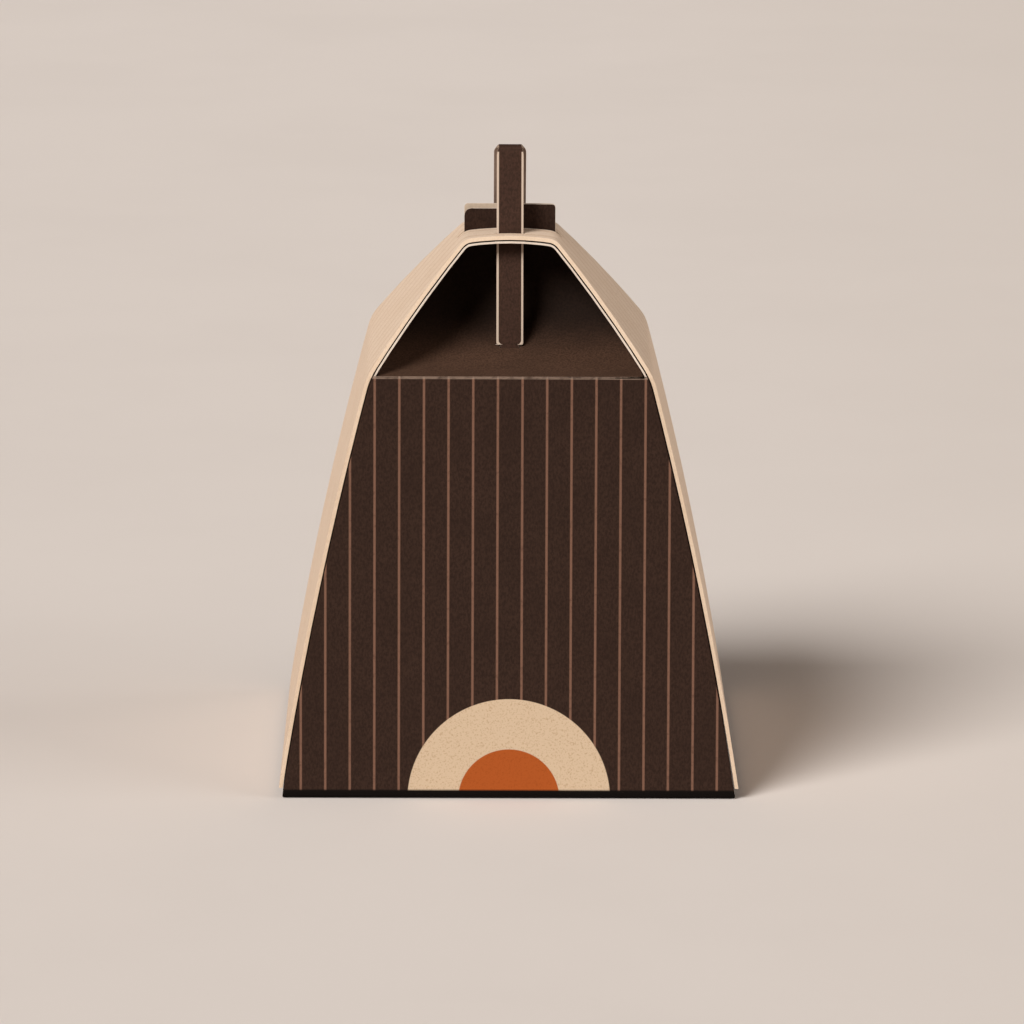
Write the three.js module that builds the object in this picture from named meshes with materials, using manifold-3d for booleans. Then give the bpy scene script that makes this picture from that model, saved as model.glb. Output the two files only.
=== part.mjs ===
// Folded paperboard snack box: a dark carton, a kraft sleeve over its sides and roof, and a strap handle.
// Millimetres, +Z up, +Y to the back. The origin is the centre of the footprint, on the surface it stands on.

import * as THREE from 'three';
import { mergeVertices } from 'three/addons/utils/BufferGeometryUtils.js';
import Module from 'manifold-3d';

const wasm = await Module();
wasm.setup();

// Outside of the whole box, measured over the sleeve
const baseWidth = 151;
const baseDepth = 133;
const shoulderWidth = 93;
const shoulderDepth = 96;
const bodyHeight = 136.8;
const topWidth = 30;
const topDepth = 30;
const roofHeight = 40;

// How the board bends: the outward bows of the side walls, the roof's slopes and its top, and the fold radii
const wallBow = 1.8;
const roofBow = 0.8;
const topBow = 1;
const shoulderRadius = 20;
const topRadius = 6;
const baseFoldRadius = 2.6;

// Boards, and the running gap between two of them
const sleeveBoard = 1.2;
const cartonBoard = 0.65;
const strapBoard = 1.0;
const plyGap = 0.35;

// The sleeve's walls stop this far above the surface
const sleeveLift = 3.6;

// Recessed end panels: how steeply they leave the shoulder fold, how far they stay low, and their side play
const recessSlope = THREE.MathUtils.degToRad(3);
const recessLowReach = 22;
const recessTurnHeight = 6;
const recessSidePlay = 0.5;

// Locking tongues at the top of the recessed panels, and the slot that they pass through
const tongueWidth = 30;
const tongueRise = 7.8;
const tongueStep = 1.4;
const tongueCorner = 1.4;
const tongueSlotEndPlay = 2.2;

// Strap handle
const strapWidth = 8.8;
const strapCrownWidth = 7.4;
const strapRearWidth = 10.6;
const strapRise = 27.3;
const strapCrownSpan = 6;
const strapRoofSpan = 19.6;
const strapFootSpan = 44;
const strapFoldRadius = 1.8;
const strapTaper = 2.2;
const strapSlotPlay = 0.3;
const strapNeckWidth = 6;
const strapFootGap = 0.5;
const strapFootCorner = 1.5;
const anchorWidth = 14;
const anchorHeight = 3.2;
const anchorDrop = 0.6;
const anchorCorner = 1;

// Worked out from the sizes above
const topHeight = bodyHeight + roofHeight;
const crownHeight = topHeight + strapRise;
const cartonInset = sleeveBoard + plyGap;
const cavityInset = cartonInset + cartonBoard;
const far = baseWidth + baseDepth + crownHeight;
const tongueInner = plyGap / 2;
const tongueOuter = tongueInner + cartonBoard;

function point(x, y) {
  return new THREE.Vector2(x, y);
}

// Replaces each corner that has a radius by a curve that touches both of its sides
function roundCorners(corners, closed) {
  const line = [];
  const count = corners.length;
  corners.forEach((corner, index) => {
    const isEnd = !closed && (index === 0 || index === count - 1);
    if (isEnd || !corner.radius) {
      line.push(corner.at);
      return;
    }
    const before = corners[(index + count - 1) % count].at.clone().sub(corner.at);
    const after = corners[(index + 1) % count].at.clone().sub(corner.at);
    const turn = Math.PI - Math.abs(before.angleTo(after));
    const wanted = corner.radius * Math.tan(turn / 2);
    const reach = Math.min(wanted, before.length() / 2, after.length() / 2);
    const start = corner.at.clone().add(before.setLength(reach));
    const end = corner.at.clone().add(after.setLength(reach));
    const steps = Math.max(3, Math.ceil(turn / THREE.MathUtils.degToRad(7)));
    line.push(...new THREE.QuadraticBezierCurve(start, corner.at, end).getPoints(steps));
  });
  return line;
}

// Moves an open line sideways to its left by a distance, keeping its corners sharp
function offsetLine(line, distance) {
  return line.map((at, index) => {
    const before = line[Math.max(index - 1, 0)];
    const after = line[Math.min(index + 1, line.length - 1)];
    const into = index === 0 ? after.clone().sub(at) : at.clone().sub(before);
    const out = index === line.length - 1 ? into.clone() : after.clone().sub(at);
    const intoSide = point(-into.y, into.x).normalize();
    const outSide = point(-out.y, out.x).normalize();
    const side = intoSide.clone().add(outSide).normalize();
    return at.clone().addScaledVector(side, distance / side.dot(intoSide));
  });
}

// A band of one board's thickness on the left of a line
function band(line, near, thickness) {
  return [...offsetLine(line, near), ...offsetLine(line, near + thickness).reverse()];
}

function toSolid(geometry) {
  geometry.deleteAttribute('normal');
  geometry.deleteAttribute('uv');
  const merged = mergeVertices(geometry, 1e-4);
  const vertProperties = new Float32Array(merged.attributes.position.array);
  const triVerts = new Uint32Array(merged.index.array);
  return new wasm.Manifold(new wasm.Mesh({ numProp: 3, vertProperties, triVerts }));
}

function extrude(outline, length) {
  const shape = new THREE.Shape(outline);
  const geometry = new THREE.ExtrudeGeometry(shape, { depth: length, bevelEnabled: false });
  return geometry.translate(0, 0, -length / 2);
}

// An outline in X and Z, carried along Y
function alongY(outline, length = far) {
  return toSolid(extrude(outline, length).rotateX(Math.PI / 2));
}

// An outline in Y and Z, carried along X
function alongX(outline, length = far) {
  const turn = new THREE.Matrix4().makeBasis(
    new THREE.Vector3(0, 1, 0),
    new THREE.Vector3(0, 0, 1),
    new THREE.Vector3(1, 0, 0),
  );
  return toSolid(extrude(outline, length).applyMatrix4(turn));
}

function block(low, high) {
  const size = high.clone().sub(low);
  const centre = low.clone().add(high).multiplyScalar(0.5);
  return toSolid(new THREE.BoxGeometry(size.x, size.y, size.z).translate(centre.x, centre.y, centre.z));
}

// A point part of the way along a bowed side, with its bow to the right of the way
function bowedPoint(from, to, bow, share) {
  const side = to.clone().sub(from);
  const outward = point(side.y, -side.x).normalize();
  const depth = 4 * bow * share * (1 - share);
  return from.clone().addScaledVector(side, share).addScaledVector(outward, depth);
}

// The points between the two ends of a bowed side
function bowedPoints(from, to, bow, steps) {
  const inner = [];
  for (let step = 1; step < steps; step += 1) {
    inner.push({ at: bowedPoint(from, to, bow, step / steps) });
  }
  return inner;
}

// The outside of the box seen from the front: up the bowed right wall, over the roof, down the left wall
function archLine() {
  const foot = point(baseWidth / 2, 0);
  const shoulder = point(shoulderWidth / 2, bodyHeight);
  const top = point(topWidth / 2, topHeight - topBow);
  const otherTop = point(-top.x, top.y);
  const below = -0.1;
  const right = [
    { at: bowedPoint(foot, shoulder, wallBow, below) },
    ...bowedPoints(foot, shoulder, wallBow, 10),
    { at: shoulder, radius: shoulderRadius },
    ...bowedPoints(shoulder, top, roofBow, 5),
    { at: top, radius: topRadius },
  ];
  const left = right.map(({ at, radius }) => ({ at: point(-at.x, at.y), radius })).reverse();
  const crest = bowedPoints(top, otherTop, topBow, 6);
  return roundCorners([...right, ...crest, ...left], false);
}

// The outside of the box seen from the side, with the two folds along the base rounded
function sideOutline(bottom, radius) {
  const footSlope = (baseDepth - shoulderDepth) / 2 / bodyHeight;
  const foot = baseDepth / 2 - footSlope * bottom;
  const half = [
    { at: point(foot, bottom), radius },
    { at: point(shoulderDepth / 2, bodyHeight) },
    { at: point(topDepth / 2, topHeight) },
  ];
  const other = half.map((corner) => ({ ...corner, at: point(-corner.at.x, corner.at.y) })).reverse();
  return roundCorners([...half, ...other], true);
}

// The curve of a recessed panel and its tongue, front face, from the shoulder fold to the tongue's top
function recessLine() {
  const fold = point(-shoulderDepth / 2, bodyHeight);
  const low = fold.clone().add(point(recessLowReach, recessLowReach * Math.tan(recessSlope)));
  const rootHeight = topHeight - cavityInset;
  const turn = point(-tongueOuter, bodyHeight + recessTurnHeight);
  const root = point(-tongueOuter, rootHeight);
  const curve = new THREE.CubicBezierCurve(fold, low, turn, root).getPoints(22);
  return [...curve, point(-tongueOuter, topHeight + tongueRise)];
}

// Height of the recessed panel's front face at a distance from the middle of the box
function recessHeightAt(distance) {
  const line = recessLine();
  const index = line.findIndex((at) => at.x > -distance);
  const [low, high] = [line[index - 1], line[index]];
  return THREE.MathUtils.mapLinear(-distance, low.x, high.x, low.y, high.y);
}

// The strap's middle line seen from the side, from the front anchor over the crown to the rear anchor
function strapLine() {
  const foot = recessHeightAt(strapFootSpan / 2);
  const lean = (strapFootSpan - strapRoofSpan) / 2 / (topHeight - foot);
  const anchorDepth = cartonBoard + anchorDrop + anchorHeight;
  const crownLine = crownHeight - strapBoard / 2;
  const front = [
    { at: point(-strapFootSpan / 2 - lean * anchorDepth, foot - anchorDepth) },
    { at: point(-strapRoofSpan / 2, topHeight) },
    { at: point(-strapCrownSpan / 2, crownLine), radius: strapFoldRadius },
  ];
  const rear = front.map((corner) => ({ ...corner, at: point(-corner.at.x, corner.at.y) })).reverse();
  return roundCorners([...front, ...rear], false);
}

// A strap leg seen from the front: its anchor, the neck in the panel's slot, the leg, and the crown
function strapOutline(legWidth, play, anchorHalf) {
  const foot = recessHeightAt(strapFootSpan / 2);
  const anchorTop = foot - cartonBoard - anchorDrop;
  const anchorBottom = anchorTop - anchorHeight - strapBoard;
  const neckHalf = strapNeckWidth / 2 + play;
  const legHalf = legWidth / 2 + play;
  const crownHalf = strapCrownWidth / 2 + play;
  const legBottom = foot + strapFootGap - play;
  const half = [
    { at: point(anchorHalf, anchorBottom), radius: anchorCorner },
    { at: point(anchorHalf, anchorTop), radius: anchorCorner },
    { at: point(neckHalf, anchorTop) },
    { at: point(neckHalf, legBottom) },
    { at: point(legHalf, legBottom), radius: strapFootCorner },
    { at: point(legHalf, crownHeight - strapTaper), radius: strapTaper },
    { at: point(crownHalf, crownHeight) },
    { at: point(crownHalf, crownHeight + strapBoard) },
  ];
  const other = half.map((item) => ({ ...item, at: point(-item.at.x, item.at.y) })).reverse();
  return roundCorners([...half, ...other], true);
}

// The strap, or with some play the tool that opens its slots. Both legs share the crown
function strapSolid(play, anchorHalf) {
  const strip = alongX(band(strapLine(), -strapBoard / 2 - play, strapBoard + 2 * play));
  const shared = strapCrownSpan / 4;
  const frontSide = block(new THREE.Vector3(-far, -far, -far), new THREE.Vector3(far, shared, far));
  const rearSide = block(new THREE.Vector3(-far, -shared, -far), new THREE.Vector3(far, far, far));
  const front = alongY(strapOutline(strapWidth, play, anchorHalf)).intersect(frontSide);
  const rear = alongY(strapOutline(strapRearWidth, play, anchorHalf)).intersect(rearSide);
  return strip.intersect(front.add(rear));
}

// A tool that opens the roof for the two locking tongues
function tongueSlot() {
  const halfWidth = tongueWidth / 2 + tongueSlotEndPlay;
  const halfDepth = tongueOuter + plyGap;
  return block(
    new THREE.Vector3(-halfWidth, -halfDepth, bodyHeight),
    new THREE.Vector3(halfWidth, halfDepth, far),
  );
}

// One recessed panel with its tongue. The front one steps down on its left half
function recessPanel(stepDown) {
  const plate = alongX(band(recessLine(), -cartonBoard, cartonBoard));
  const roofLine = offsetLine(archLine(), cavityInset + recessSidePlay);
  const insideRoof = alongY(roofLine);
  const rootHeight = topHeight - cavityInset - tongueRise;
  const top = topHeight + tongueRise;
  const tongue = roundCorners([
    { at: point(tongueWidth / 2, rootHeight) },
    { at: point(tongueWidth / 2, top), radius: tongueCorner },
    { at: point(0, top) },
    { at: point(0, top - stepDown) },
    { at: point(-tongueWidth / 2, top - stepDown), radius: tongueCorner + stepDown },
    { at: point(-tongueWidth / 2, rootHeight) },
  ].filter((corner, index) => stepDown > 0 || (index !== 2 && index !== 3)), true);
  return plate.intersect(insideRoof.add(alongY(tongue)));
}

function mirrorY(solid) {
  return solid.scale([1, -1, 1]);
}

// The dark carton: base, four walls, an inner roof ply and two recessed end panels, all one folded sheet
function cartonSolid() {
  const outside = alongY(offsetLine(archLine(), cartonInset)).intersect(alongX(sideOutline(0, baseFoldRadius)));
  const wallRun = Math.hypot((baseDepth - shoulderDepth) / 2, bodyHeight) / bodyHeight;
  const wallDepth = cartonBoard * wallRun;
  const footSlope = (baseDepth - shoulderDepth) / 2 / bodyHeight;
  const innerFoot = baseDepth / 2 - wallDepth - footSlope * cartonBoard;
  const half = [
    { at: point(innerFoot, cartonBoard), radius: baseFoldRadius - cartonBoard },
    { at: point(shoulderDepth / 2 - wallDepth, bodyHeight) },
    { at: point(far, bodyHeight) },
    { at: point(far, far) },
  ];
  const other = half.map((corner) => ({ ...corner, at: point(-corner.at.x, corner.at.y) })).reverse();
  const room = alongX(roundCorners([...half, ...other], true), 2 * far);
  const cavity = alongY(offsetLine(archLine(), cavityInset), 4 * far).intersect(room);
  const shell = outside.subtract(cavity).subtract(tongueSlot());
  const panels = recessPanel(tongueStep).add(mirrorY(recessPanel(0)));
  return shell.add(panels).subtract(strapSolid(strapSlotPlay, strapNeckWidth / 2));
}

// The kraft sleeve: one strip folded over the left wall, the roof and the right wall
function sleeveSolid() {
  const strip = alongY(band(archLine(), 0, sleeveBoard));
  const ends = alongX(sideOutline(sleeveLift, 0));
  return strip.intersect(ends).subtract(tongueSlot()).subtract(strapSolid(strapSlotPlay, strapNeckWidth / 2));
}

function toMesh(name, solid, material) {
  const data = solid.getMesh();
  const geometry = new THREE.BufferGeometry();
  geometry.setAttribute('position', new THREE.BufferAttribute(new Float32Array(data.vertProperties), 3));
  geometry.setIndex(new THREE.BufferAttribute(new Uint32Array(data.triVerts), 1));
  geometry.computeVertexNormals();
  const mesh = new THREE.Mesh(geometry, material);
  mesh.name = name;
  return mesh;
}

const darkBoard = new THREE.MeshStandardMaterial({ color: 0x3b2b25, roughness: 0.85, metalness: 0 });
const kraftBoard = new THREE.MeshStandardMaterial({ color: 0xd6b693, roughness: 0.9, metalness: 0 });
const strapBoardFinish = new THREE.MeshStandardMaterial({ color: 0x4a382e, roughness: 0.85, metalness: 0 });

const snackBox = new THREE.Group();
snackBox.name = 'snack_box';
snackBox.add(toMesh('inner_carton', cartonSolid(), darkBoard));
snackBox.add(toMesh('kraft_sleeve', sleeveSolid(), kraftBoard));
snackBox.add(toMesh('strap_handle', strapSolid(0, anchorWidth / 2), strapBoardFinish));

export default snackBox;
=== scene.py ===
"""Dresses a folded paperboard snack box: a dark printed carton, a kraft sleeve and a strap handle.

Lengths are in millimetres and angles in degrees, unless a name says otherwise.
Blender's own units are metres.
"""

import logging
import math
from dataclasses import dataclass
from enum import Enum
from typing import Union

import bpy
from mathutils import Matrix, Vector


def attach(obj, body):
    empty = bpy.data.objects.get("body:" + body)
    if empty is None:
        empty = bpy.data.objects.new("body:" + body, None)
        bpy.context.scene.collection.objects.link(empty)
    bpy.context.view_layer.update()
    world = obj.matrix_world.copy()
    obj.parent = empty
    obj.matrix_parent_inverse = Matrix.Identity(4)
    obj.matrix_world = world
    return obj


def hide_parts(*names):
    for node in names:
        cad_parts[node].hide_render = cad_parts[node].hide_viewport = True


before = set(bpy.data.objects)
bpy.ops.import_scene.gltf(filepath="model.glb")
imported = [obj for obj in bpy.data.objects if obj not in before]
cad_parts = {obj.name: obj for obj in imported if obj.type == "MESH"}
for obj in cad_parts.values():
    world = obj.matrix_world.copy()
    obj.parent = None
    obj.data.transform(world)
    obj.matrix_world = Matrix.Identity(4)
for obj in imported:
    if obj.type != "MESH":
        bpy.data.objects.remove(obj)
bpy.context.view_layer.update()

LOG = logging.getLogger("snack_box")
BODY = "root"
MM = 0.001

# A Mix node's inputs share their names, so its share and its two colours go by their numbers
SHARE = 0
BELOW = 6
ABOVE = 7

Source = Union[bpy.types.Node, bpy.types.NodeSocket, Vector, str, float]
NodeInputs = dict[Union[str, int], Source]


def linear(hex_colour: str) -> tuple[float, float, float, float]:
    """Turns an sRGB hex colour to the linear values that a shader takes.

    Args:
        hex_colour: Six hex digits after a #.

    Returns:
        Red, green, blue and a full alpha.
    """
    channels = [int(hex_colour[start:start + 2], 16) / 255 for start in (1, 3, 5)]
    # The sRGB standard's own curve: straight near black, and a power above it
    red, green, blue = [value / 12.92 if value <= 0.04045 else ((value + 0.055) / 1.055) ** 2.4
                        for value in channels]
    return (red, green, blue, 1.0)


class Recipe:
    """A node tree, filled one node at a time."""

    def __init__(self, tree: bpy.types.NodeTree, coordinate: str = "Object", scale: float = 1 / MM) -> None:
        """Empties a tree and lays the coordinates that its patterns read.

        Args:
            tree: The tree of a material or a world.
            coordinate: The output of Texture Coordinate to read.
            scale: What it is multiplied by. The usual scale turns metres to millimetres.
        """
        self.tree = tree
        self.tree.nodes.clear()
        source = self.add("ShaderNodeTexCoord").outputs[coordinate]
        self.place = self.add("ShaderNodeVectorMath", {0: source, "Scale": scale}, operation="SCALE")
        self.axes = self.add("ShaderNodeSeparateXYZ", {0: self.place}).outputs

    def add(self, kind: str, inputs: NodeInputs | None = None, **settings: object) -> bpy.types.Node:
        """Adds a node with its settings and links.

        Args:
            kind: The node's type.
            inputs: Input names or numbers, each with a value, a hex colour, a socket, or a node whose first
                output in use is linked.
            **settings: Properties of the node, set before its inputs.

        Returns:
            The new node.
        """
        node = self.tree.nodes.new(kind)
        for setting, value in settings.items():
            setattr(node, setting, value)
        for key, value in (inputs or {}).items():
            source = linear(value) if isinstance(value, str) else value
            if isinstance(value, bpy.types.Node):
                source = next(socket for socket in value.outputs if socket.enabled)
            if isinstance(source, bpy.types.NodeSocket):
                self.tree.links.new(source, node.inputs[key])
            else:
                node.inputs[key].default_value = source
        return node


def lay_over(recipe: Recipe, below: Source, above: Source, where: Source,
             strength: Source = 1.0) -> bpy.types.Node:
    """Lays one colour over another where a pattern says so.

    Args:
        recipe: The material that is being made.
        below: The colour below.
        above: The colour above.
        where: The pattern, from 0 to 1.
        strength: How much of the colour above shows where the pattern is full.

    Returns:
        A node that gives the colour.
    """
    share = recipe.add("ShaderNodeMath", {0: where, 1: strength}, operation="MULTIPLY")
    return recipe.add("ShaderNodeMix", {SHARE: share, BELOW: below, ABOVE: above}, data_type="RGBA")


@dataclass(frozen=True)
class Patches:
    """Soft patches of one grain size, scattered over a surface by fractal noise.

    They start where the noise is at its low level and are full at the high one.
    """

    size: float
    low: float
    high: float
    stretch: tuple[float, float, float] = (1.0, 1.0, 1.0)
    octaves: float = 3.0
    roughness: float = 0.6

    def lay(self, recipe: Recipe) -> bpy.types.Node:
        """Lays the patches.

        Args:
            recipe: The material that is being made.

        Returns:
            A node that gives 0 between the patches and 1 on them.
        """
        scale = Vector([1 / length for length in self.stretch])
        place = recipe.add("ShaderNodeMapping", {"Vector": recipe.place, "Scale": scale})
        noise = recipe.add("ShaderNodeTexNoise", {"Vector": place, "Scale": 1 / self.size,
                                                  "Detail": self.octaves, "Roughness": self.roughness})
        return recipe.add("ShaderNodeMapRange", {"Value": noise, "From Min": self.low, "From Max": self.high},
                          interpolation_type="SMOOTHSTEP")


@dataclass(frozen=True)
class Outline:
    """How far a printed shape reaches from its middle, and over how much its edge fades."""

    reach: float
    blur: float

    def fill(self, recipe: Recipe, distance: Source) -> bpy.types.Node:
        """Marks the inside of the shape.

        Args:
            recipe: The material that is being made.
            distance: The distance from the shape's middle, with or without a sign.

        Returns:
            A node that gives 1 in the shape and 0 around it.
        """
        size = recipe.add("ShaderNodeMath", {0: distance}, operation="ABSOLUTE")
        return recipe.add("ShaderNodeMapRange", {"Value": size, "From Min": self.reach - self.blur / 2,
                                                 "From Max": self.reach + self.blur / 2,
                                                 "To Min": 1.0, "To Max": 0.0},
                          interpolation_type="SMOOTHSTEP")


@dataclass(frozen=True)
class Pinstripes:
    """Straight lines at an even pitch, with the sheet's middle halfway between two of them."""

    pitch: float
    line: Outline

    def lay(self, recipe: Recipe, across: Source) -> bpy.types.Node:
        """Lays the lines.

        Args:
            recipe: The material that is being made.
            across: The coordinate that the lines are spaced along.

        Returns:
            A node that gives 1 on a line and 0 between two.
        """
        turns = recipe.add("ShaderNodeMath", {0: across, 1: self.pitch}, operation="DIVIDE")
        share = recipe.add("ShaderNodeMath", {0: turns}, operation="FRACT")
        offset = recipe.add("ShaderNodeMath", {0: share, 1: 0.5}, operation="SUBTRACT")
        distance = recipe.add("ShaderNodeMath", {0: offset, 1: self.pitch}, operation="MULTIPLY")
        return self.line.fill(recipe, distance)


@dataclass(frozen=True)
class BoxSizes:
    """The sizes that the print is laid out from."""

    # These are the CAD source's own driving sizes
    base_depth: float = 133.0
    body_height: float = 136.8
    shoulder_depth: float = 96.0
    roof_height: float = 40.0
    strap_rise: float = 27.3
    strap_front_width: float = 8.8
    strap_rear_width: float = 10.6
    # Where the strap's front leg comes out of the recess, and how far apart the stripes are
    strap_foot_height: float = 141.96
    stripe_pitch: float = 7.97

    @property
    def top_height(self) -> float:
        """Gives the height of the roof's top."""
        return self.body_height + self.roof_height

    @property
    def wall_run(self) -> float:
        """Gives the length of a leaning front wall for each unit of its height."""
        lean = (self.base_depth - self.shoulder_depth) / 2
        return math.hypot(lean, self.body_height) / self.body_height


BOX = BoxSizes()


@dataclass(frozen=True)
class BoardFinish:
    """Bare folding board, pressed and dried on rollers.

    Its matted fibres scatter the light, so it is matt, with a fine tooth and slow clouds of shade.
    Real fibres are about 0.03 mm wide. They are drawn at 0.6 mm, because finer ones don't show.
    Its IOR is that of paper fibre, but so little of a rough sheet shines that its specular level is low.
    """

    colour: str
    shade: str
    ior: float = 1.5
    roughness: float = 0.86
    specular_level: float = 0.12
    clouds: Patches = Patches(14.0, 0.35, 0.75)
    cloud_strength: float = 0.35
    fibres: Patches = Patches(0.6, 0.34, 0.68, stretch=(1.0, 1.0, 1.8))
    fibre_strength: float = 0.45
    tooth_octaves: float = 4.0
    tooth_roughness: float = 0.65
    tooth_strength: float = 0.6
    tooth_depth: float = 0.05

    def paint(self, recipe: Recipe) -> bpy.types.Node:
        """Lays the board's own colour: slow clouds, then fibres a shade darker.

        Args:
            recipe: The material that is being made.

        Returns:
            A node that gives the colour.
        """
        clouded = lay_over(recipe, self.colour, self.shade, self.clouds.lay(recipe), self.cloud_strength)
        return lay_over(recipe, clouded, self.shade, self.fibres.lay(recipe), self.fibre_strength)

    def make(self, name: str) -> bpy.types.Material:
        """Makes the material.

        Args:
            name: Its name.

        Returns:
            The material, ready for a slot.
        """
        material = bpy.data.materials.new(name)
        material.use_nodes = True
        recipe = Recipe(material.node_tree)
        colour = self.paint(recipe)
        tooth = recipe.add("ShaderNodeTexNoise", {"Vector": recipe.place, "Scale": 1 / self.fibres.size,
                                                  "Detail": self.tooth_octaves,
                                                  "Roughness": self.tooth_roughness})
        bump = recipe.add("ShaderNodeBump", {"Height": tooth, "Strength": self.tooth_strength,
                                             "Distance": self.tooth_depth * MM})
        shader = recipe.add("ShaderNodeBsdfPrincipled", {"Base Color": colour, "Normal": bump,
                                                         "IOR": self.ior, "Roughness": self.roughness,
                                                         "Specular IOR Level": self.specular_level})
        recipe.add("ShaderNodeOutputMaterial", {"Surface": shader})
        return material


@dataclass(frozen=True)
class UnbleachedKraft(BoardFinish):
    """Uncoated kraft liner, made from unbleached pulp on a paper machine.

    It is warm and matt, with pale flecks and dark specks of bark in it and faint tone-on-tone pinstripes.
    Real specks are about 0.2 mm across. They are drawn at 0.6 mm, because finer ones don't show.
    """

    specks: Patches = Patches(0.6, 0.6, 0.7)
    speck: str = "#a4825f"
    flecks: Patches = Patches(0.5, 0.6, 0.72, stretch=(1.8, 1.0, 1.0))
    fleck: str = "#f0dcc2"
    dot_strength: float = 0.62
    stripes: Pinstripes = Pinstripes(BOX.stripe_pitch, Outline(0.75, 0.8))
    stripe: str = "#c3a283"
    stripe_strength: float = 0.48

    def paint(self, recipe: Recipe) -> bpy.types.Node:
        """Lays the kraft's clouds and fibres, the stripes along each wall, and the specks and flecks.

        Args:
            recipe: The material that is being made.

        Returns:
            A node that gives the colour.
        """
        below = super().paint(recipe)
        if self.stripe_strength > 0:
            lines = self.stripes.lay(recipe, recipe.axes["Y"])
            below = lay_over(recipe, below, self.stripe, lines, self.stripe_strength)
        below = lay_over(recipe, below, self.speck, self.specks.lay(recipe), self.dot_strength)
        return lay_over(recipe, below, self.fleck, self.flecks.lay(recipe), self.dot_strength)


class Pattern(Enum):
    """What is printed over the dark ink."""

    PLAIN = "plain"
    PINSTRIPES = "pinstripes"
    PINSTRIPES_AND_DISC = "pinstripes and disc"


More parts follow.
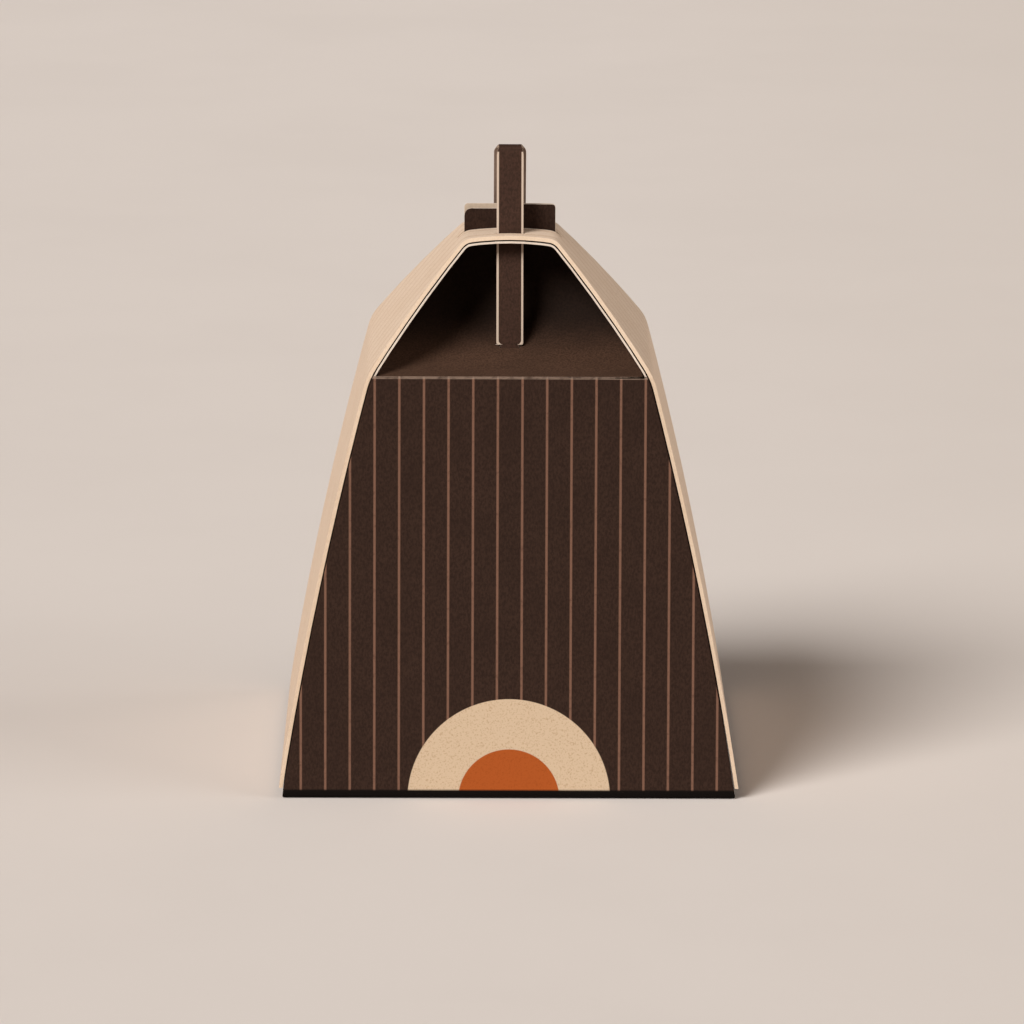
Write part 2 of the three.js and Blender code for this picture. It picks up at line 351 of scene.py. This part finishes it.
@dataclass(frozen=True)
class OffsetInk(BoardFinish):
    """Dark brown ink, laid on uncoated board by an offset press.

    The board drinks it in, so it stays matt and a little uneven, and it cracks pale along a fold.
    """

    fibre_strength: float = 0.9
    pattern: Pattern = Pattern.PLAIN
    stripes: Pinstripes = Pinstripes(BOX.stripe_pitch, Outline(0.375, 0.3))
    stripe: str = "#7a5847"
    thin_ink: Patches = Patches(1.6, 0.2, 0.5)
    thin_ink_level: float = 0.55
    disc_edge: Outline = Outline(33.0, 0.25)
    disc: str = "#d0b698"
    disc_speck: str = "#a98763"
    core_edge: Outline = Outline(16.5, 0.25)
    core: str = "#aa5321"
    core_speck: str = "#964618"
    disc_specks: Patches = Patches(0.55, 0.5, 0.68)
    disc_speck_strength: float = 0.55
    # Painted shadow: a near-black band on the base fold, where the box meets the floor
    painted_base_shadow: str = "#0d0704"
    base_fold_height: float = 3.1
    painted_base_shadow_blur: float = 0.6
    # Painted shade: the recess print darkens towards the box's middle and under the roof
    painted_recess_shade: str = "#120a06"
    recess_shade_start: float = 19.0
    recess_shade_end: float = 40.0
    recess_shade_strength: float = 0.86
    recess_shade_below_top: float = 2.0
    recess_shade_top_blur: float = 2.0
    worn: str = "#9c8473"
    worn_line: Outline = Outline(0.6, 0.5)
    worn_stripes: Pinstripes = Pinstripes(BOX.stripe_pitch, Outline(0.375, 0.5))
    worn_breaks: Patches = Patches(1.1, 0.25, 0.6, stretch=(2.5, 1.0, 1.0))
    worn_least: float = 0.25
    worn_most: float = 0.8

    def paint(self, recipe: Recipe) -> bpy.types.Node:
        """Lays the ink, its pattern, the painted shade on the base fold and in the recess, and the worn line
        on the fold.

        Args:
            recipe: The material that is being made.

        Returns:
            A node that gives the colour.
        """
        below = super().paint(recipe)
        if self.pattern is not Pattern.PLAIN:
            below = self.with_stripes(recipe, below)
        if self.pattern is Pattern.PINSTRIPES_AND_DISC:
            below = self.with_disc(recipe, below)
        below = self.with_painted_shade(recipe, below)
        return self.with_worn_fold(recipe, below)

    def with_stripes(self, recipe: Recipe, below: bpy.types.Node) -> bpy.types.Node:
        """Prints the copper pinstripes, upright and a little uneven in strength.

        Args:
            recipe: The material that is being made.
            below: The colour below them.

        Returns:
            A node that gives the colour.
        """
        lines = self.stripes.lay(recipe, recipe.axes["X"])
        strength = recipe.add("ShaderNodeMapRange", {"Value": self.thin_ink.lay(recipe),
                                                     "To Min": self.thin_ink_level, "To Max": 1.0})
        return lay_over(recipe, below, self.stripe, lines, strength)

    def with_disc(self, recipe: Recipe, below: bpy.types.Node) -> bpy.types.Node:
        """Leaves a half disc of bare kraft at the panel's foot, with an orange one inside it.

        Args:
            recipe: The material that is being made.
            below: The colour around the disc.

        Returns:
            A node that gives the colour.
        """
        up_wall = recipe.add("ShaderNodeMath", {0: recipe.axes["Z"], 1: BOX.wall_run}, operation="MULTIPLY")
        flat = recipe.add("ShaderNodeCombineXYZ", {"X": recipe.axes["X"], "Y": up_wall})
        radius = recipe.add("ShaderNodeVectorMath", {0: flat}, operation="LENGTH").outputs["Value"]
        specks = self.disc_specks.lay(recipe)
        kraft = lay_over(recipe, self.disc, self.disc_speck, specks, self.disc_speck_strength)
        orange = lay_over(recipe, self.core, self.core_speck, specks, self.disc_speck_strength)
        motif = lay_over(recipe, kraft, orange, self.core_edge.fill(recipe, radius))
        return lay_over(recipe, below, motif, self.disc_edge.fill(recipe, radius))

    def with_painted_shade(self, recipe: Recipe, below: bpy.types.Node) -> bpy.types.Node:
        """Lays painted shade: a near-black band on the base fold, where the box meets the floor, and a dark
        patch deep in the recess, under the roof.

        Args:
            recipe: The material that is being made.
            below: The colour elsewhere.

        Returns:
            A node that gives the colour.
        """
        height = recipe.axes["Z"]
        # Painted shadow on the base fold, where the box meets the floor
        in_base_shadow = recipe.add("ShaderNodeMapRange",
                             {"Value": height, "From Min": self.base_fold_height + self.painted_base_shadow_blur / 2,
                              "From Max": self.base_fold_height - self.painted_base_shadow_blur / 2})
        below = lay_over(recipe, below, self.painted_base_shadow, in_base_shadow)
        # Painted shade deep in the recess, where the roof's shadow lies
        out = recipe.add("ShaderNodeMath", {0: recipe.axes["Y"]}, operation="ABSOLUTE")
        inward = recipe.add("ShaderNodeMath", {0: BOX.shoulder_depth / 2, 1: out}, operation="SUBTRACT")
        ceiling = BOX.top_height - self.recess_shade_below_top
        under_roof = recipe.add("ShaderNodeMapRange",
                                {"Value": height, "From Min": ceiling + self.recess_shade_top_blur / 2,
                                 "From Max": ceiling - self.recess_shade_top_blur / 2, "To Max": self.recess_shade_strength})
        painted_recess_shade = recipe.add("ShaderNodeMapRange", {"Value": inward, "From Min": self.recess_shade_start,
                                                 "From Max": self.recess_shade_end, "To Max": under_roof},
                          interpolation_type="SMOOTHSTEP")
        return lay_over(recipe, below, self.painted_recess_shade, painted_recess_shade)

    def with_worn_fold(self, recipe: Recipe, below: bpy.types.Node) -> bpy.types.Node:
        """Shows the board through the ink along the shoulder fold, in small breaks and at each stripe.

        Args:
            recipe: The material that is being made.
            below: The colour elsewhere.

        Returns:
            A node that gives the colour.
        """
        out = recipe.add("ShaderNodeMath", {0: recipe.axes["Y"]}, operation="ABSOLUTE")
        section = recipe.add("ShaderNodeCombineXYZ", {"Y": out, "Z": recipe.axes["Z"]})
        fold = Vector((0, BOX.shoulder_depth / 2, BOX.body_height))
        distance = recipe.add("ShaderNodeVectorMath", {0: section, 1: fold}, operation="DISTANCE")
        line = self.worn_line.fill(recipe, distance.outputs["Value"])
        strength = recipe.add("ShaderNodeMapRange", {"Value": self.worn_breaks.lay(recipe),
                                                     "To Min": self.worn_least, "To Max": self.worn_most})
        if self.pattern is not Pattern.PLAIN:
            ends = self.worn_stripes.lay(recipe, recipe.axes["X"])
            strength = recipe.add("ShaderNodeMath", {0: strength, 1: ends}, operation="MAXIMUM")
        return lay_over(recipe, below, self.worn, line, strength)


@dataclass(frozen=True)
class BorderedInk(BoardFinish):
    """The strap's dark ink, laid by the same press and matt like the carton's.

    It stops short of the strap's long edges and leaves a pale line of board bare there.
    """

    fibre_strength: float = 0.9
    bare: str = "#cbb5a1"
    border: float = 0.7
    border_blur: float = 0.16
    crown_fold: float = 1.5
    foot_corner: float = 1.5

    def paint(self, recipe: Recipe) -> bpy.types.Node:
        """Lays the ink and the bare border, which turns in at the foot in a rounded corner.

        Args:
            recipe: The material that is being made.

        Returns:
            A node that gives the colour.
        """
        below = super().paint(recipe)
        is_rear = recipe.add("ShaderNodeMath", {0: recipe.axes["Y"], 1: 0.0}, operation="GREATER_THAN")
        half = recipe.add("ShaderNodeMapRange", {"Value": is_rear,
                                                 "To Min": BOX.strap_front_width / 2 - self.border,
                                                 "To Max": BOX.strap_rear_width / 2 - self.border})
        across = recipe.add("ShaderNodeMath", {0: recipe.axes["X"]}, operation="ABSOLUTE")
        outward = recipe.add("ShaderNodeMath", {0: across, 1: self.cut_back(recipe)}, operation="ADD")
        beyond = recipe.add("ShaderNodeMath", {0: outward, 1: half}, operation="SUBTRACT")
        crown = BOX.top_height + BOX.strap_rise - self.crown_fold
        on_leg = recipe.add("ShaderNodeMath", {0: recipe.axes["Z"], 1: (crown + BOX.strap_foot_height) / 2,
                                               2: (crown - BOX.strap_foot_height) / 2}, operation="COMPARE")
        bare = recipe.add("ShaderNodeMapRange", {"Value": beyond, "From Min": -self.border_blur / 2,
                                                 "From Max": self.border_blur / 2, "To Max": on_leg},
                          interpolation_type="SMOOTHSTEP")
        return lay_over(recipe, below, self.bare, bare)

    def cut_back(self, recipe: Recipe) -> bpy.types.Node:
        """Works out how far the ink's rounded corner draws in at the strap's foot.

        Args:
            recipe: The material that is being made.

        Returns:
            A node that gives the corner's radius at the foot and 0 above the corner.
        """
        foot = BOX.strap_foot_height
        corner = recipe.add("ShaderNodeMapRange", {"Value": recipe.axes["Z"], "From Min": foot,
                                                   "From Max": foot + self.foot_corner,
                                                   "To Min": 1.0, "To Max": 0.0})
        square = recipe.add("ShaderNodeMath", {0: corner, 1: corner}, operation="MULTIPLY")
        rest = recipe.add("ShaderNodeMath", {0: 1.0, 1: square}, operation="SUBTRACT")
        reach = recipe.add("ShaderNodeMath", {0: rest}, operation="SQRT")
        return recipe.add("ShaderNodeMapRange", {"Value": reach, "To Min": self.foot_corner, "To Max": 0.0})


@dataclass(frozen=True)
class DieCutEdge(BoardFinish):
    """The board's section, where a steel rule cut through it: bare, matt and faintly layered."""

    layer: str = "#cdb49a"
    layers: Patches = Patches(0.35, 0.5, 0.75)
    layer_strength: float = 0.5

    def paint(self, recipe: Recipe) -> bpy.types.Node:
        """Lays the core's colour and the darker layers in it.

        Args:
            recipe: The material that is being made.

        Returns:
            A node that gives the colour.
        """
        core = super().paint(recipe)
        return lay_over(recipe, core, self.layer, self.layers.lay(recipe), self.layer_strength)


class Surface(Enum):
    """The surfaces that the box's three pieces show. Each value is its material's name."""

    FRONT_PRINT = "offset_ink_on_board_front"
    BACK_PRINT = "offset_ink_on_board_back"
    RECESS_PRINT = "offset_ink_on_board_recess_painted_light"
    PLAIN_PRINT = "offset_ink_on_board_plain"
    CARTON_REVERSE = "folding_board_reverse"
    CARTON_EDGE = "folding_board_die_cut_edge"
    KRAFT_FACE = "kraft_liner_striped_face"
    KRAFT_REVERSE = "kraft_liner_plain_reverse"
    KRAFT_EDGE = "kraft_liner_die_cut_edge"
    STRAP_PRINT = "offset_ink_on_strap_board"
    # The strap's back and cut sides are drawn in painted shade
    STRAP_REVERSE = "strap_board_reverse_painted_shade"
    STRAP_EDGE = "strap_board_die_cut_edge_painted_shade"


CUT_SURFACES = frozenset({Surface.CARTON_EDGE, Surface.KRAFT_EDGE, Surface.STRAP_EDGE})

FINISHES: dict[Surface, BoardFinish] = {
    # Printed by an offset press on uncoated board: dark brown and matt, with copper lines
    Surface.FRONT_PRINT: OffsetInk("#3a281f", "#2a1b14", pattern=Pattern.PINSTRIPES_AND_DISC),
    Surface.BACK_PRINT: OffsetInk("#3a281f", "#2a1b14", pattern=Pattern.PINSTRIPES),
    # The same ink with no lines, drawn lighter and browner on the recess panels, as painted light for the
    # brighter light that they catch
    Surface.RECESS_PRINT: OffsetInk("#533b2d", "#38261b"),
    Surface.PLAIN_PRINT: OffsetInk("#3a281f", "#2a1b14"),
    # Left as the board machine made it: pale, warm and matt
    Surface.CARTON_REVERSE: BoardFinish("#cbb8a3", "#b5a08a"),
    # Cut by a steel rule: the pale core of the carton's board
    Surface.CARTON_EDGE: DieCutEdge("#dccbba", "#c6b29f"),
    # Rolled from unbleached pulp: warm with faint lines, its back plain and a tone darker, its section pale
    Surface.KRAFT_FACE: UnbleachedKraft("#dbc4ae", "#ceb298"),
    Surface.KRAFT_REVERSE: UnbleachedKraft("#cfb395", "#bd9e7e", stripe_strength=0.0),
    Surface.KRAFT_EDGE: DieCutEdge("#dfc6ac", "#d0b395"),
    # Printed by the same press on the strap's board. Its back and section are drawn darker than the carton's,
    # as painted shade
    Surface.STRAP_PRINT: BorderedInk("#452f25", "#33231a"),
    Surface.STRAP_REVERSE: BoardFinish("#8d7768", "#776255"),
    Surface.STRAP_EDGE: DieCutEdge("#a08a78", "#8a7564", layer="#857060"),
}


def make_materials() -> dict[Surface, bpy.types.Material]:
    """Makes every finish once.

    Returns:
        The material of each surface.
    """
    return {surface: finish.make(surface.value) for surface, finish in FINISHES.items()}


def select_only(obj: bpy.types.Object) -> None:
    """Deselects everything and makes one object the selected and active one.

    Args:
        obj: The object to work on.
    """
    bpy.ops.object.select_all(action="DESELECT")
    obj.select_set(True)
    bpy.context.view_layer.objects.active = obj


@dataclass
class BoardPiece:
    """One folded sheet of board, dressed from its CAD solid.

    A face looks along an axis where its normal's share of that axis is over facing.
    It lies along the axis where that share is under square.
    """

    node: str = ""
    dressed_name: str = ""
    material_slot: str = ""
    surfaces: tuple[Surface, ...] = ()
    middle_height: float = 60.0
    facing: float = 0.9
    square: float = 0.01
    merge_distance: float = 0.002
    flat_angle: float = 0.4
    fold_radius: float = 0.5
    cut_radius: float = 0.12
    bevel_segments: int = 3
    smooth_angle: float = 34.0

    def surface_of(self, centre: Vector, normal: Vector, strip: float) -> Surface:
        """Says which surface a face belongs to.

        Args:
            centre: The face's centre, in millimetres.
            normal: The way that it looks.
            strip: The width of a long strip with its area and rim.

        Returns:
            The surface.
        """
        raise NotImplementedError

    def looks_inward(self, centre: Vector, normal: Vector) -> bool:
        """Says whether a face looks towards the middle of what its sheet wraps.

        Args:
            centre: The face's centre, in millimetres.
            normal: The way that it looks.

        Returns:
            True where it does.
        """
        return normal.dot(centre - Vector((0, 0, self.middle_height))) < 0

    def build(self, materials: dict[Surface, bpy.types.Material]) -> bpy.types.Object:
        """Makes the dressed piece and puts it in the CAD node's place.

        Args:
            materials: The material of each surface.

        Returns:
            The piece.
        """
        piece = self.copy_solid()
        self.assign_surfaces(piece, materials)
        self.soften_edges(piece)
        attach(piece, BODY)
        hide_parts(self.node)
        LOG.info("%s: %d faces", piece.name, len(piece.data.polygons))
        return piece

    def copy_solid(self) -> bpy.types.Object:
        """Copies the CAD solid, joins its loose triangles and dissolves the flat ones into whole panels.

        Returns:
            The copy.
        """
        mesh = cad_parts[self.node].data.copy()
        mesh.materials.clear()
        piece = bpy.data.objects.new(self.dressed_name, mesh)
        bpy.context.scene.collection.objects.link(piece)
        select_only(piece)
        bpy.ops.object.mode_set(mode="EDIT")
        bpy.ops.mesh.select_all(action="SELECT")
        bpy.ops.mesh.remove_doubles(threshold=self.merge_distance * MM)
        bpy.ops.mesh.select_all(action="SELECT")
        bpy.ops.mesh.customdata_custom_splitnormals_clear()
        bpy.ops.mesh.dissolve_limited(angle_limit=math.radians(self.flat_angle))
        bpy.ops.object.mode_set(mode="OBJECT")
        return piece

    def assign_surfaces(self, piece: bpy.types.Object, materials: dict[Surface, bpy.types.Material]) -> None:
        """Gives each face the material of its surface.

        Args:
            piece: The piece.
            materials: The material of each surface.
        """
        mesh = piece.data
        for surface in self.surfaces:
            mesh.materials.append(materials[surface])
        for face in mesh.polygons:
            corners = [mesh.vertices[index].co for index in face.vertices]
            rim = sum((corner - corners[place - 1]).length for place, corner in enumerate(corners))
            strip = 2 * face.area / rim / MM
            surface = self.surface_of(face.center / MM, face.normal, strip)
            face.material_index = self.surfaces.index(surface)

    def soften_edges(self, piece: bpy.types.Object) -> None:
        """Rounds folds widely and cut edges finely, then smooths the shading between them.

        Args:
            piece: The piece.
        """
        self.weigh_edges(piece.data)
        bevel = piece.modifiers.new("soft_edges", "BEVEL")
        bevel.width = self.fold_radius * MM
        bevel.segments = self.bevel_segments
        bevel.limit_method = "WEIGHT"
        bevel.use_clamp_overlap = False
        select_only(piece)
        bpy.ops.object.modifier_apply(modifier=bevel.name)
        bpy.ops.object.shade_smooth_by_angle(angle=math.radians(self.smooth_angle))
        even = piece.modifiers.new("flat_panels", "WEIGHTED_NORMAL")
        even.keep_sharp = True
        bpy.ops.object.modifier_apply(modifier=even.name)

    def weigh_edges(self, mesh: bpy.types.Mesh) -> None:
        """Weighs each sharp edge for the bevel: whole on a fold, and less beside a cut surface.

        Args:
            mesh: The piece's mesh, with its materials assigned.
        """
        faces_at: dict[tuple[int, int], list[bpy.types.MeshPolygon]] = {}
        for face in mesh.polygons:
            for key in face.edge_keys:
                faces_at.setdefault(key, []).append(face)
        weights = mesh.attributes.new("bevel_weight_edge", "FLOAT", "EDGE")
        for edge in mesh.edges:
            pair = faces_at[edge.key]
            if len(pair) != 2 or pair[0].normal.angle(pair[1].normal) < math.radians(self.smooth_angle):
                continue
            on_cut = any(self.surfaces[face.material_index] in CUT_SURFACES for face in pair)
            weights.data[edge.index].value = self.cut_radius / self.fold_radius if on_cut else 1.0


@dataclass
class InnerCarton(BoardPiece):
    """The dark carton: base, walls, roof ply and two recessed end panels, folded from one sheet."""

    node: str = "inner_carton"
    dressed_name: str = "dressed_inner_carton"
    material_slot: str = "dark_printed_board"
    surfaces: tuple[Surface, ...] = (Surface.FRONT_PRINT, Surface.BACK_PRINT, Surface.RECESS_PRINT,
                                     Surface.PLAIN_PRINT, Surface.CARTON_REVERSE, Surface.CARTON_EDGE)
    fold_radius: float = 0.35
    widest_cut: float = 1.05
    base_fold_height: float = 4.0
    tongues_below_top: float = 1.4

    def surface_of(self, centre: Vector, normal: Vector, strip: float) -> Surface:
        """Says which surface a face belongs to: a cut edge, the plain reverse, or a print.

        Args:
            centre: The face's centre, in millimetres.
            normal: The way that it looks.
            strip: The width of a long strip with its area and rim.

        Returns:
            The surface.
        """
        is_tongue = centre.z > BOX.top_height - self.tongues_below_top
        # A bent side wall is a row of narrow strips as well, so it is told from a cut edge by where it looks
        is_round_wall = abs(normal.y) < self.square and abs(normal.x) < self.facing and not is_tongue
        if strip < self.widest_cut and centre.z > self.base_fold_height and not is_round_wall:
            return Surface.CARTON_EDGE
        if self.looks_inward(centre, normal):
            return Surface.CARTON_REVERSE
        if is_tongue:
            return Surface.PLAIN_PRINT
        # The recess panels take a lighter copy of the ink, as painted light
        if centre.z > BOX.body_height and abs(normal.x) < self.square:
            return Surface.RECESS_PRINT
        if normal.y < -self.facing:
            return Surface.FRONT_PRINT
        if normal.y > self.facing:
            return Surface.BACK_PRINT
        return Surface.PLAIN_PRINT


@dataclass
class KraftSleeve(BoardPiece):
    """The kraft sleeve: one strip over the left wall, the roof and the right wall."""

    node: str = "kraft_sleeve"
    dressed_name: str = "dressed_kraft_sleeve"
    material_slot: str = "kraft_board"
    surfaces: tuple[Surface, ...] = (Surface.KRAFT_FACE, Surface.KRAFT_REVERSE, Surface.KRAFT_EDGE)
    widest_cut: float = 1.35
    edge_facing: float = 0.4
    slot_end_facing: float = 0.95
    slot_zone: float = 20.0

    def surface_of(self, centre: Vector, normal: Vector, strip: float) -> Surface:
        """Says which surface a face belongs to: a cut edge, the face or the reverse.

        Args:
            centre: The face's centre, in millimetres.
            normal: The way that it looks.
            strip: The width of a long strip with its area and rim.

        Returns:
            The surface.
        """
        # The rims at the front, the back and the feet are cut, and so are the slots' narrow ends
        is_rim = abs(normal.y) > self.edge_facing or normal.z < -self.facing
        is_slot_end = (strip < self.widest_cut and abs(normal.x) > self.slot_end_facing
                       and abs(centre.x) < self.slot_zone)
        if is_rim or is_slot_end:
            return Surface.KRAFT_EDGE
        if self.looks_inward(centre, normal):
            return Surface.KRAFT_REVERSE
        return Surface.KRAFT_FACE


@dataclass
class StrapHandle(BoardPiece):
    """The strap handle: one long strip, folded over at its crown, with an anchor at each end."""

    node: str = "strap_handle"
    dressed_name: str = "dressed_strap_handle"
    material_slot: str = "dark_strap_board"
    surfaces: tuple[Surface, ...] = (Surface.STRAP_PRINT, Surface.STRAP_REVERSE, Surface.STRAP_EDGE)
    middle_height: float = 170.0
    fold_radius: float = 0.3
    crown_reach: float = 8.1

    def surface_of(self, centre: Vector, normal: Vector, strip: float) -> Surface:
        """Says which surface a face belongs to: a cut side, the print or the reverse.

        Args:
            centre: The face's centre, in millimetres.
            normal: The way that it looks.
            strip: The width of a long strip with its area and rim.

        Returns:
            The surface.
        """
        # The crown's top is level, so it looks neither forwards nor back, as the cut sides do
        crown_zone = BOX.top_height + BOX.strap_rise - self.crown_reach
        is_crown = abs(normal.x) < self.square and centre.z > crown_zone
        if abs(normal.y) < self.square and not is_crown:
            return Surface.STRAP_EDGE
        if self.looks_inward(centre, normal):
            return Surface.STRAP_REVERSE
        return Surface.STRAP_PRINT


@dataclass(frozen=True)
class SoftLight:
    """A wide, soft and even light.

    Azimuth is how far it stands to the left of the box's front, elevation how high it stands, and spread how
    wide it looks from the box. Level is the radiance that it gives to a white wall that faces it.
    """

    name: str
    azimuth: float
    elevation: float
    spread: float
    level: float

    def hang(self) -> None:
        """Hangs the light and turns it towards the box."""
        turn = math.radians(self.azimuth)
        rise = math.radians(self.elevation)
        way = Vector((-math.sin(turn) * math.cos(rise), -math.cos(turn) * math.cos(rise), math.sin(rise)))
        bpy.ops.object.light_add(type="SUN", location=way)
        lamp = bpy.context.object
        lamp.name = self.name
        lamp.rotation_euler = way.to_track_quat("Z", "Y").to_euler()
        lamp.data.angle = math.radians(self.spread)
        lamp.data.energy = self.level * math.pi


@dataclass(frozen=True)
class PhotoCamera:
    """The camera, where the photograph was taken from. The target is the point in the picture's middle."""

    distance: float = 1998.4
    pitch: float = 13.949
    yaw: float = 0.474
    roll: float = 0.279
    target: tuple[float, float, float] = (1.156, 0.0, 80.007)
    image_pixels: int = 1024
    pixels_per_mm: float = 3.0
    sensor: float = 36.0

    def place(self) -> None:
        """Places the camera and makes it the scene's own."""
        pitch = math.radians(self.pitch)
        yaw = math.radians(self.yaw)
        ahead = Vector((math.sin(yaw) * math.cos(pitch), math.cos(yaw) * math.cos(pitch), -math.sin(pitch)))
        right = Vector((math.cos(yaw), -math.sin(yaw), 0))
        up = right.cross(ahead)
        turn = Matrix((right, up, -ahead)).transposed().to_4x4()
        eye = (Vector(self.target) - ahead * self.distance) * MM
        data = bpy.data.cameras.new("photo_camera")
        camera = bpy.data.objects.new("photo_camera", data)
        bpy.context.scene.collection.objects.link(camera)
        camera.matrix_world = (Matrix.Translation(eye) @ turn
                               @ Matrix.Rotation(math.radians(self.roll), 4, "Z"))
        data.sensor_width = self.sensor
        data.lens = self.sensor * self.pixels_per_mm * self.distance / self.image_pixels
        bpy.context.scene.camera = camera


@dataclass(frozen=True)
class Studio:
    """A pale floor, a soft key light from the left, a weak fill from the right, the room and the camera."""

    floor_side: float = 9000.0
    floor_colour: str = "#dbd1c9"
    floor_shade: str = "#d9cfc7"
    floor_clouds: Patches = Patches(160.0, 0.35, 0.7)
    floor_painted_falloff: str = "#cfc4ba"
    falloff_start: float = 60.0
    falloff_end: float = 620.0
    floor_roughness: float = 0.95
    floor_specular_level: float = 0.1
    backdrop: str = "#d6ccc3"
    room_colour: str = "#ffdfc4"
    horizon_level: float = 0.02
    zenith_level: float = 0.15
    key: SoftLight = SoftLight("key_light", azimuth=47.0, elevation=42.0, spread=30.0, level=1.09)
    fill: SoftLight = SoftLight("fill_light", azimuth=-78.0, elevation=9.0, spread=60.0, level=0.65)
    camera: PhotoCamera = PhotoCamera()

    def build(self) -> None:
        """Builds the floor, the lights and the camera."""
        self.lay_floor()
        self.light_room()
        self.key.hang()
        self.fill.hang()
        self.camera.place()

    def lay_floor(self) -> None:
        """Lays a flat sheet, wide enough to fill the view. Its matt paint darkens a little to the right, as a
        painted fall-off of the light.
        """
        bpy.ops.object.select_all(action="DESELECT")
        bpy.ops.mesh.primitive_plane_add(size=self.floor_side * MM, location=(0, 0, 0))
        floor = bpy.context.object
        floor.name = "studio_floor"
        material = bpy.data.materials.new("painted_studio_floor")
        material.use_nodes = True
        recipe = Recipe(material.node_tree)
        colour = lay_over(recipe, self.floor_colour, self.floor_shade, self.floor_clouds.lay(recipe))
        # Painted shade: the floor darkens to the right, as the light falls off
        painted_falloff = recipe.add("ShaderNodeMapRange", {"Value": recipe.axes["X"], "From Min": self.falloff_start,
                                                 "From Max": self.falloff_end})
        colour = lay_over(recipe, colour, self.floor_painted_falloff, painted_falloff)
        shader = recipe.add("ShaderNodeBsdfPrincipled", {"Base Color": colour,
                                                         "Roughness": self.floor_roughness,
                                                         "Specular IOR Level": self.floor_specular_level})
        recipe.add("ShaderNodeOutputMaterial", {"Surface": shader})
        floor.data.materials.append(material)

    def light_room(self) -> None:
        """Lights the room from overhead, less towards the horizon, and shows the camera a pale backdrop."""
        world = bpy.data.worlds.new("studio_room")
        world.use_nodes = True
        recipe = Recipe(world.node_tree, coordinate="Generated", scale=1.0)
        level = recipe.add("ShaderNodeMapRange", {"Value": recipe.axes["Z"], "To Min": self.horizon_level,
                                                  "To Max": self.zenith_level})
        room = recipe.add("ShaderNodeBackground", {"Color": self.room_colour, "Strength": level})
        backdrop = recipe.add("ShaderNodeBackground", {"Color": self.backdrop})
        rays = recipe.add("ShaderNodeLightPath")
        choice = recipe.add("ShaderNodeMixShader", {0: rays.outputs["Is Camera Ray"], 1: room, 2: backdrop})
        recipe.add("ShaderNodeOutputWorld", {"Surface": choice})
        bpy.context.scene.world = world


def main() -> None:
    """Builds the studio and the box's three pieces, in order."""
    logging.basicConfig(level=logging.INFO, format="%(message)s")
    bpy.context.scene.view_settings.view_transform = "Standard"
    materials = make_materials()
    Studio().build()
    for piece in (InnerCarton(), KraftSleeve(), StrapHandle()):
        piece.build(materials)


if __name__ == "__main__":
    main()
